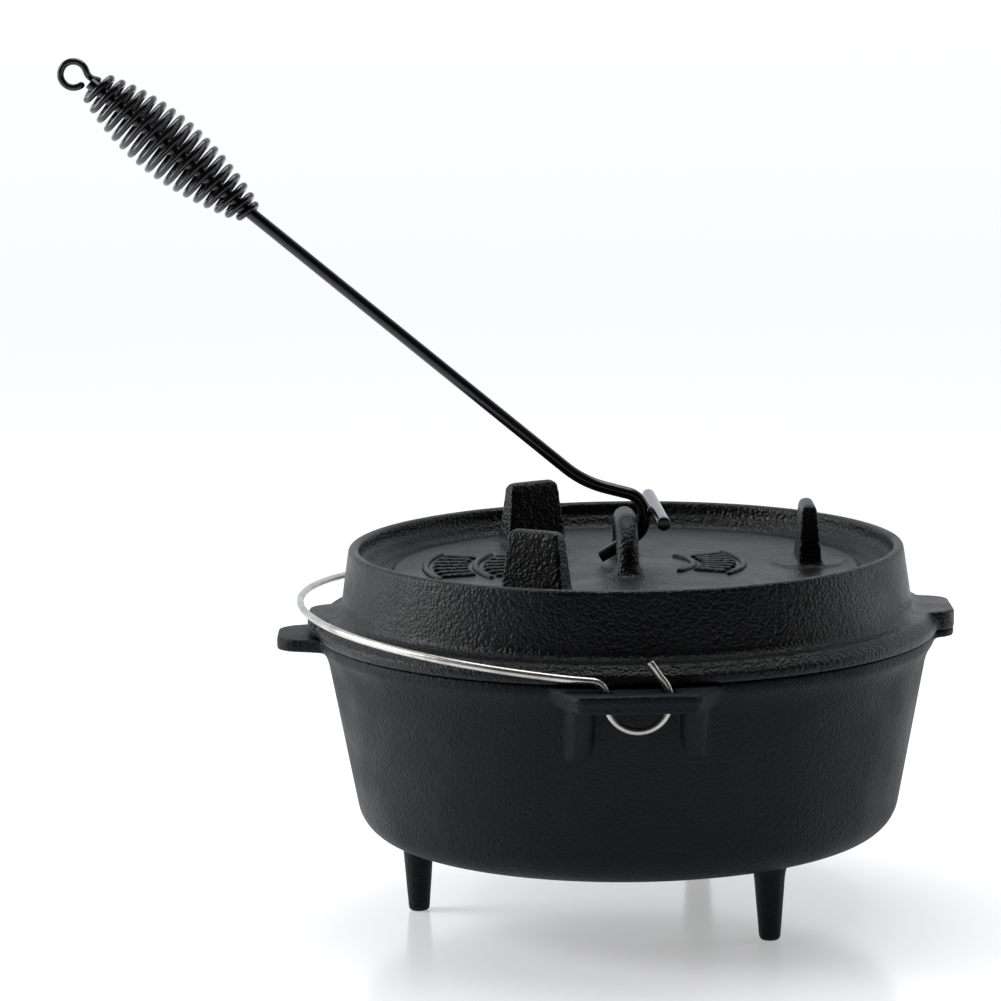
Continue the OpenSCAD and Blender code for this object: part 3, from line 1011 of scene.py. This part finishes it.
@dataclass
class Studio:
    """A pale floor, soft light and the camera."""

    eye: Vector = Vector((-0.0805, -2.4274, 0.6066))
    heading: float = 0.26
    tilt: float = 8.83
    roll: float = -0.79
    lens: float = 158.27

    def camera(self) -> None:
        """The camera, level with a seated viewer's eyes and far off, so lines hardly converge."""
        data = bpy.data.cameras.new("camera")
        data.lens = self.lens
        data.sensor_width = 36.0
        data.clip_end = 50.0
        camera = bpy.data.objects.new("camera", data)
        camera.matrix_world = (Matrix.Translation(self.eye)
                               @ Matrix.Rotation(radians(-self.heading), 4, "Z")
                               @ Matrix.Rotation(radians(90 - self.tilt), 4, "X")
                               @ Matrix.Rotation(radians(self.roll), 4, "Z"))
        bpy.context.scene.collection.objects.link(camera)
        bpy.context.scene.camera = camera

    def floor(self) -> None:
        """A wide, pale, slightly glossy floor."""
        bm = bmesh.new()
        bmesh.ops.create_grid(bm, x_segments=8, y_segments=8, size=9000.0)
        floor = finished("studio_floor", bm)
        material, _, shader, _ = new_material("pale_gloss_board", Roughness=0.16,
                                                     Emission_Strength=0.36)
        shader.inputs["Base Color"].default_value = linear("#e6e6ea")
        shader.inputs["Emission Color"].default_value = (1, 1, 1, 1)
        floor.data.materials.append(material)

    def world(self) -> None:
        """A white backdrop to the eye, which lights mostly from behind the object."""
        world = bpy.data.worlds.new("studio")
        bpy.context.scene.world = world
        world.use_nodes = True
        tree = world.node_tree
        tree.nodes.clear()
        place = add_node(tree, "ShaderNodeTexCoord").outputs["Generated"]
        split = add_node(tree, "ShaderNodeSeparateXYZ", links={0: place})
        glow = add_node(tree, "ShaderNodeMapRange", {"From Min": -0.25, "From Max": 0.75, "To Min": 0.03,
                                                     "To Max": 0.95, "interpolation_type": "SMOOTHSTEP"},
                        {"Value": split.outputs["Y"]})
        lit = add_node(tree, "ShaderNodeBackground", {"Color": (0.93, 0.96, 1.0, 1)},
                       {"Strength": glow.outputs["Result"]})
        seen = add_node(tree, "ShaderNodeBackground", {"Color": (1, 1, 1, 1), "Strength": 1.05})
        ray = add_node(tree, "ShaderNodeLightPath")
        mix = add_node(tree, "ShaderNodeMixShader", links={
            0: ray.outputs["Is Camera Ray"], 1: lit.outputs[0], 2: seen.outputs[0]})
        add_node(tree, "ShaderNodeOutputWorld", links={"Surface": mix.outputs[0]})

    def softbox(self, name: str, place: Vector, aim: Vector, size: tuple[float, float],
                power: float) -> None:
        """One rectangular soft light.

        Args:
            name: Its name.
            place: Where it stands, in metres.
            aim: The point that it faces.
            size: Its width and height, in metres.
            power: Its power, in watts.
        """
        data = bpy.data.lights.new(name, "AREA")
        data.shape = "RECTANGLE"
        data.size, data.size_y = size
        data.energy = power
        light = bpy.data.objects.new(name, data)
        facing = (aim - place).to_track_quat("-Z", "Y")
        light.matrix_world = Matrix.LocRotScale(place, facing, None)
        bpy.context.scene.collection.objects.link(light)

    def build(self) -> None:
        """Sets up camera, floor and light."""
        self.camera()
        self.floor()
        self.world()
        middle = Vector((0, 0, 0.15))
        self.softbox("left_box", Vector((-1.5, 0.1, 0.75)), middle, (0.8, 1.2), 21)
        self.softbox("right_box", Vector((1.6, 0.35, 0.6)), middle, (0.5, 1.2), 3.8)
        self.softbox("top_box", Vector((0.1, 0.35, 1.9)), middle, (1.5, 1.2), 20)
        bpy.context.scene.view_settings.view_transform = "Standard"


def main() -> None:
    """Builds the oven, its lifter and the studio."""
    logging.basicConfig(level=logging.INFO, format="%(name)s: %(message)s")
    pot_iron = SandCastIron("sand_cast_iron_fine", dark="#06090d", light="#0d1217", grain_mm=1.4,
                            depth_mm=0.5, roughness=(0.44, 0.58), gloss=0.15).material()
    lid_iron = SandCastIron("sand_cast_iron_coarse", dark="#06070a", light="#0c0e11", grain_mm=1.7,
                            depth_mm=0.65, roughness=(0.32, 0.46), gloss=0.22).material()
    _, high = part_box("pot")
    pot = Pot(rim_z=high.z / MM, ear_front=high.y / MM, finish=pot_iron)
    lid = Lid(pot, lid_iron)
    pot.build()
    lid.build()
    Bail(pot, DrawnSteelWire().material()).build()
    Lifter(lid, BlackEnamel().material()).build()
    Studio().build()


if __name__ == "__main__":
    main()
